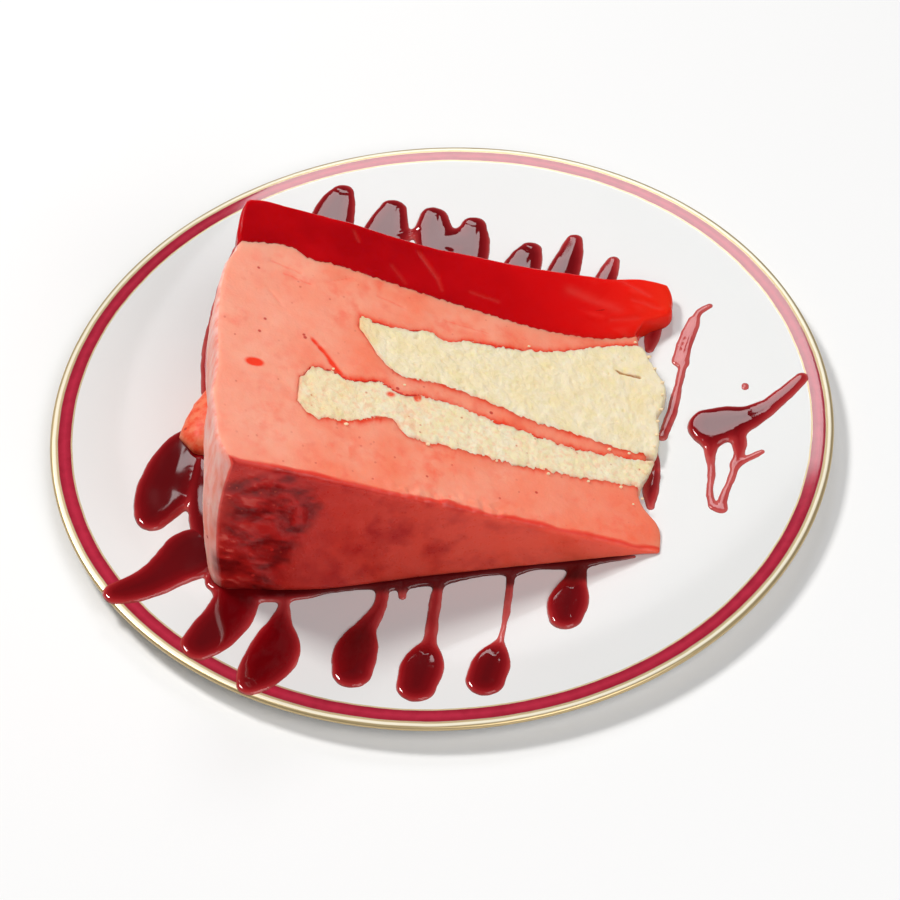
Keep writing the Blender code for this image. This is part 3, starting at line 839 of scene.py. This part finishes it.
fold = cream.stored("curl")
# The syrup film is darker in the hollows of its folds and lighter on their ridges: painted shade and light
# over the syrup's own dark red.
syrup_with_fold_shade = cream.mix(fold.step(0.15, 0.8), rgb(112, 8, 12), rgb(184, 32, 30))
body = cream.mix(glossy * 0.92, body, syrup_with_fold_shade)
# Pale pink streaks on the film's raised folds near the rim are painted highlights.
body = cream.mix(glossy * out.step(0.86, 0.95) * fold.step(0.78, 0.95) * 0.7, body, rgb(236, 118, 104))
smeared_on = cream.mix(cream.cloud(2.0, 3.0).step(0.4, 0.65), rgb(255, 134, 96), rgb(252, 84, 46))
body = cream.mix(cream.stored("smeared"), body, smeared_on)
body = cream.mix(cream.stored("mark").step(0.2, 0.7), body, rgb(252, 62, 34))
dots = specks(cream, 2.7, 0.15, 0.45, 0.0) * cream.cloud(12.0, 2.0, shift=8.0).step(0.35, 0.65)
body = cream.mix(dots * 0.6, body, rgb(206, 72, 54))
body = cream.mix(specks(cream, 5.5, 0.11, 0.4, 0.3) * 0.85, body, rgb(200, 40, 34))
cream.feed("Base Color", body)
cream.feed("Roughness", 0.45 - soak * 0.16 - glossy * 0.16 + (cream.cloud(1.2) - 0.5) * 0.12)
cream.bump(cream.cloud(0.7, 3.0) * 0.6 + cream.cloud(2.4, 2.0) - dots * 0.5, 0.12)
cream.coat(mousse_body)
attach(mousse_body, "root")
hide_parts("mousse")


# The two layers of sponge.
# Plain whisked sponge, baked thin, cut to discs smaller than the mould and laid in the mousse.
# The knife tore their open crumb, and the tip broke off rough.
SPONGE_CRACK = (((15.0, 55.9), (9.3, 55.4), 0.5, 1.0), ((16, 56.6), (14.5, 55.8), 0.4, 1.0))
MOUSSE_INLETS = (
    ((70.2, 33.4), (1.2, 1.9), 1.0), ((77.3, 32.0), (1.6, 1.1), 0.7), ((79.5, 23.3), (2.0, 0.9), 0.8),
)


def bake_sponge(name, cells, inner, outer, edges, shift):
    """One layer through the slice, with torn ends, open bubbles and the mousse that got into it."""
    layer = cut_wedge(name, cells, inner, flat_end(outer), edges, 0.5)
    spots = points_of(layer) / MM
    facing = normals_of(layer)
    holes = []
    for p in spots:
        near = noise.voronoi(Vector(p) / 1.5 + Vector((shift, 0, 0)))[0][0]
        wide = noise.voronoi(Vector(p) / 3.4 + Vector((0, shift, 0)))[0][0]
        holes.append(max(0.0, 0.3 - near) * 1.2 + max(0.0, 0.24 - wide) * 2.2)
    holes = np.array(holes)
    s, v, phi = in_cake(spots)
    crack = scrapes(s, v, SPONGE_CRACK) * smooth((facing[:, 2] - 0.4) / 0.3)
    crumb = 0.28 * soft(spots, 3.1, shift) + 0.2 * soft(spots, 1.3, shift + 2)
    crumb += 0.1 * soft(spots, 0.7, shift + 5)
    crumb += 0.08 - 0.6 * holes - 0.4 * crack
    ragged = 0.4 * soft(spots, 2.4, shift + 7)
    end = smooth((0.5 - facing[:, 2]) / 0.4)
    spots += facing * (off_plate(spots, 1.2) * (crumb + end * ragged))[:, None]
    move_points(layer, spots * MM)
    layer.data.shade_smooth()
    low, high = edges(s)
    keep(layer, "hole", holes)
    keep(layer, "crack", crack)
    inlet = np.zeros(len(s))
    for (at_s, at_v), (wide, tall), strength in MOUSSE_INLETS:
        inlet += strength * np.exp(-(((s - at_s) / wide) ** 2) - ((v - at_v) / tall) ** 2)
    keep(layer, "inlet", inlet)
    keep(layer, "margin", np.minimum(np.minimum(v - low, high - v), outer - s))
    keep(layer, "out", s)
    return layer


sponge_thick = bake_sponge(
    "sponge_thick_crumb", (220, 72, 22),
    lambda v: through([(30, 4.6), (36, 3.5), (45, 3.8), (49, 2.2), (54, 2.0), (58, 4.5), (61, 6.0),
                       (66, 8.8)], v),
    THICK_SPONGE_OUT + 0.2, thick_sponge_edges, 11.0,
)
sponge_thin = bake_sponge(
    "sponge_thin_crumb", (240, 38, 22),
    lambda v: through([(18, 8.6), (22, 7.6), (26, 5.5), (29, 4.6)], v),
    THIN_SPONGE_OUT + 0.3, thin_sponge_edges, 23.0,
)
for layer, pinkness, node in ((sponge_thick, 0.6, "sponge_thick"), (sponge_thin, 0.95, "sponge_thin")):
    crumb = Finish(node + "_crumb", {
        "IOR": 1.4, "Specular IOR Level": 0.2, "Subsurface Weight": 0.5,
        "Subsurface Radius": (1.0, 0.8, 0.5), "Subsurface Scale": 0.0025, "Roughness": 0.85,
    })
    tone = crumb.mix(crumb.cloud(6.0, 3.0).step(0.35, 0.7), rgb(250, 233, 202), rgb(247, 226, 180))
    # The open pores are tinted darker yellow-tan as painted shade in their hollows.
    pore_shade = crumb.stored("hole").step(0.1, 0.6)
    tone = crumb.mix(pore_shade * 0.35, tone, rgb(240, 208, 140))
    tone = crumb.mix(crumb.cloud(2.4, 3.0, shift=1.0).step(0.5, 0.75) * 0.5, tone, rgb(243, 226, 160))
    margin = crumb.stored("margin") + (crumb.cloud(1.6, 3.0) - 0.5) * 2.0
    edge = (1 - margin.step(0.0, 1.3)) * crumb.cloud(4.0, 2.0).step(0.35, 0.6)
    tone = crumb.mix(edge * pinkness, tone, rgb(253, 184, 152))
    out = crumb.stored("out")
    if node == "sponge_thin":
        broken = out.step(66, 71) * (1 - out.step(73, 77)) * crumb.cloud(3.0, 3.0).step(0.42, 0.6)
        tone = crumb.mix(broken * 0.4, tone, rgb(248, 168, 130))
        tone = crumb.mix(crumb.stored("inlet").step(0.25, 0.6), tone, rgb(248, 92, 62))
        tone = crumb.mix(crumb.cloud(1.3, 3.0, shift=2.0).step(0.48, 0.7) * 0.6, tone, rgb(251, 196, 160))
        tone = crumb.mix(specks(crumb, 2.6, 0.16, 0.35, 0.6) * 0.6, tone, rgb(200, 100, 66))
    tone = crumb.mix(out.step(80, 87) * (0.5 if node == "sponge_thick" else 0.15), tone, rgb(248, 196, 120))
    # The crack is coloured brown as painted shade inside it.
    tone = crumb.mix(crumb.stored("crack").step(0.3, 0.9), tone, rgb(176, 118, 62))
    crumb.feed("Base Color", tone)
    crumb.bump(crumb.cloud(0.55, 4.0, 0.65) + crumb.cloud(1.4, 3.0) * 0.8, 0.24)
    crumb.coat(layer)
    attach(layer, "root")
    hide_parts(node)


# The loose crumbs.
# Bits of sponge that the knife pulled out, and that stick to the moist cut face.
# Most lie along the torn thin end and at the sponges' seams with the mousse.
# Each crumb has its place on the cut face, out and up, and its size.
CRUMBS = [
    (9.8, 19.2, 0.5), (7.2, 24.0, 0.6), (6.2, 27.5, 0.7), (4.9, 33.0, 0.6), (4.3, 37.0, 0.8),
    (4.0, 41.5, 0.6), (3.2, 45.5, 0.7), (2.8, 50.5, 0.6), (3.0, 54.5, 0.7), (5.2, 58.8, 0.6),
    (6.9, 62.5, 0.7), (12.0, 29.3, 0.5), (17.5, 29.4, 0.6), (14.0, 17.9, 0.6), (23.0, 17.6, 0.5),
    (34.0, 17.3, 0.6), (48.0, 17.9, 0.5), (66.5, 18.3, 0.7), (74.0, 36.0, 0.5), (88.2, 18.8, 0.7),
    (93.0, 35.9, 0.5), (41.0, 58.9, 0.5), (11.0, 66.9, 0.5), (8.0, 15.5, 0.5), (10.5, 13.2, 0.4),
]
bpy.ops.object.select_all(action="DESELECT")
bits = []
for number, (s, v, size) in enumerate(CRUMBS):
    seat = on_plate(np.array([s]), np.array([v]), np.array([CUT_ANGLE]))[0]
    seat += np.array([0.1, 0, 0.25 * size + 0.1])
    bpy.ops.mesh.primitive_ico_sphere_add(subdivisions=3, radius=1)
    bit = bpy.context.object
    ball = points_of(bit)
    lumps = 1 + 0.35 * soft(ball * 1.2 + number * 7.0, 1.0) + 0.2 * soft(ball * 3 + number * 3.0, 1.0)
    move_points(bit, (ball * lumps[:, None] * size * np.array([0.75, 0.6, 0.5]) + seat) * MM)
    bits.append(bit)
for bit in bits:
    bit.select_set(True)
bpy.context.view_layer.objects.active = bits[0]
bpy.ops.object.join()
sponge_crumbs = bits[0]
sponge_crumbs.name = "sponge_crumbs"
loose = Finish("loose_crumb", {
    "Base Color": rgb(247, 222, 180), "Roughness": 0.85, "Specular IOR Level": 0.2,
})
loose.bump(loose.cloud(0.5, 4.0), 0.15)
loose.coat(sponge_crumbs)
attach(sponge_crumbs, "root")
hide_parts("sponge_thick")


# The jelly.
# Clear red fruit gelatine, which was set in the mould after the mousse and bonded to it.
# Its cut face is wet and shows the knife's drag marks, lightened as painted glints, and its thin end lets the
# light through.
JELLY_STROKES = (
    ((72.8, 83.2), (67.3, 75.5), 0.5, 0.55), ((67.3, 75.5), (65.9, 71.6), 0.45, 0.4),
    ((91.0, 85.0), (89.6, 81.8), 0.4, 0.4), ((80, 76), (76, 71), 0.5, 0.25),
    ((58, 73.5), (50, 72.5), 0.45, 0.35),
    ((21.7, 89.0), (14.4, 88.6), 0.6, 0.4), ((30, 82), (16, 78), 1.6, 0.4), ((14, 88), (7, 84), 0.7, 0.45),
    ((12, 82), (4, 80), 0.6, 0.4), ((10, 76), (18, 74), 0.7, 0.35),
)


def jelly_tip(v):
    return through([(66, 11.5), (69.4, 10.7), (73, 9.3), (75.7, 7), (77.6, 2.2), (82, 0.4), (85, 0.4),
                    (88, 1.5), (90, 3)], v)


def jelly_edges(s):
    """The heights of the jelly's seam and of its top, which keeps the mould's slight waver."""
    top = through([(0, 88), (7, 89.7), (19, 88.6), (33, 88), (55, 86.8), (73, 86.3), (83, 86.9), (92, 87.8),
                   (109, 88), (116, 88.3), (120, 87.2), (123, 85.6)], s)
    return jelly_bottom(s) + 0.02, top


jelly_layer = cut_wedge("jelly_layer", (200, 34, 60), jelly_tip, rim_radius, jelly_edges, 0.8, "low")
spots = points_of(jelly_layer) / MM
facing = normals_of(jelly_layer)
s, v, phi = in_cake(spots)
on_cut = smooth((facing[:, 2] - 0.55) / 0.3)
relief = 0.2 * soft(spots, 12.0, 3.0) + 0.08 * soft(spots, 4.0, 1.0) + 0.06 * soft(spots, 2.2, 5.0)
drag = 2 * on_cut * scrapes(s, v, JELLY_STROKES)
pulled = spots * np.array([0.5, 1, 1]) + 2 * soft(spots, 8.0)[:, None]
wrinkles = soft(pulled, 3.2, 6.0) * smooth((40 - s) / 20) * on_cut
relief += 0.45 * wrinkles - 0.5 * drag
near_seam = smooth((v - jelly_bottom(s)) / 1.5)
spots += facing * (relief * off_plate(spots, 1.5) * near_seam)[:, None]
move_points(jelly_layer, spots * MM)
jelly_layer.data.shade_smooth()
keep(jelly_layer, "thickness", np.maximum(s, 0) * CUT_ANGLE)
keep(jelly_layer, "drag", np.clip(drag + 0.4 * smooth((wrinkles - 0.15) / 0.35), 0, 1))
gel = Finish("red_jelly", {
    "IOR": 1.36, "Specular IOR Level": 0.17, "Subsurface Weight": 1.0,
    "Subsurface Radius": (1.0, 0.05, 0.04), "Subsurface Scale": 0.005,
})
thin = 1 - gel.stored("thickness").step(1.0, 32.0)
tone = gel.mix(gel.cloud(13.0, 2.0).step(0.35, 0.7), rgb(172, 3, 12), rgb(190, 6, 15))
tone = gel.mix(thin, tone, rgb(230, 10, 14))
tone = gel.mix(thin.math("POWER", 5.0), tone, rgb(236, 44, 24))
# The drag marks and wrinkles are lightened as painted glints on the wet cut face.
tone = gel.mix(gel.stored("drag") * 0.32, tone, rgb(236, 84, 72))
gel.feed("Base Color", tone)
gel.feed("Roughness", 0.1 + gel.cloud(3.0).step(0.4, 0.8) * 0.12)
gel.bump(gel.cloud(1.5, 2.0) + gel.cloud(5.0, 2.0), 0.12)
gel.coat(jelly_layer)
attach(jelly_layer, "root")
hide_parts("jelly")


# The room.
# A white table, a key light from behind on the left, a wide fill in front and a soft box straight behind.
# The pools of sauce mirror the soft box. The camera looks down over the plate's near rim.
CAMERA_HEIGHT_ANGLE = math.radians(48.16)
CAMERA_ROLL = math.radians(-3.3)
CAMERA_DISTANCE = 0.9
CAMERA_LENS = 139.45
CAMERA_AIM = Vector((0.0019, -0.0062, 0))
TABLE_WIDTH = 6
ROOM_LIGHT = 0.12
bpy.ops.object.select_all(action="DESELECT")
bpy.ops.mesh.primitive_plane_add(size=TABLE_WIDTH, location=(0, 0, 0))
table = bpy.context.object
table.name = "table"
paper = Finish("table_white", {"Base Color": (0.9, 0.9, 0.9, 1), "Roughness": 0.9, "Specular IOR Level": 0.1})
paper.coat(table)


def place_light(name, width, tall, azimuth, elevation, distance, power, colour):
    """A flat light that faces the plate. Azimuth is measured from straight behind towards the right."""
    light = bpy.data.lights.new(name, "AREA")
    light.shape = "RECTANGLE"
    light.size = width
    light.size_y = tall
    light.energy = power
    light.color = colour
    lamp = bpy.data.objects.new(name, light)
    bpy.context.scene.collection.objects.link(lamp)
    a, e = math.radians(azimuth), math.radians(elevation)
    spot = Vector((math.sin(a) * math.cos(e), math.cos(a) * math.cos(e), math.sin(e))) * distance
    lamp.location = spot
    lamp.rotation_euler = spot.to_track_quat("Z", "Y").to_euler()


place_light("key", 0.3, 0.3, -50, 53, 1.5, 14.7, (1.0, 0.985, 0.96))
place_light("fill", 1.0, 1.0, 150, 48, 1.4, 11.6, (1.0, 1.0, 1.0))
place_light("soft_box", 0.38, 0.27, 4, 43.7, 1.35, 2.1, (0.97, 0.985, 1.0))
world = bpy.data.worlds.new("room")
bpy.context.scene.world = world
world.use_nodes = True
world.node_tree.nodes["Background"].inputs["Color"].default_value = (0.92, 0.95, 1.0, 1)
world.node_tree.nodes["Background"].inputs["Strength"].default_value = ROOM_LIGHT

back = Vector((0, -math.cos(CAMERA_HEIGHT_ANGLE), math.sin(CAMERA_HEIGHT_ANGLE)))
right = Vector((1, 0, 0))
up = back.cross(right)
camera = bpy.data.objects.new("camera", bpy.data.cameras.new("camera"))
bpy.context.scene.collection.objects.link(camera)
camera.data.lens = CAMERA_LENS
camera.data.sensor_width = 36
across = right * math.cos(CAMERA_ROLL) + up * math.sin(CAMERA_ROLL)
upright = up * math.cos(CAMERA_ROLL) - right * math.sin(CAMERA_ROLL)
turned = Matrix((across, upright, back)).transposed().to_4x4()
camera.matrix_world = Matrix.Translation(CAMERA_AIM + back * CAMERA_DISTANCE) @ turned
bpy.context.scene.camera = camera
bpy.context.scene.view_settings.view_transform = "Standard"
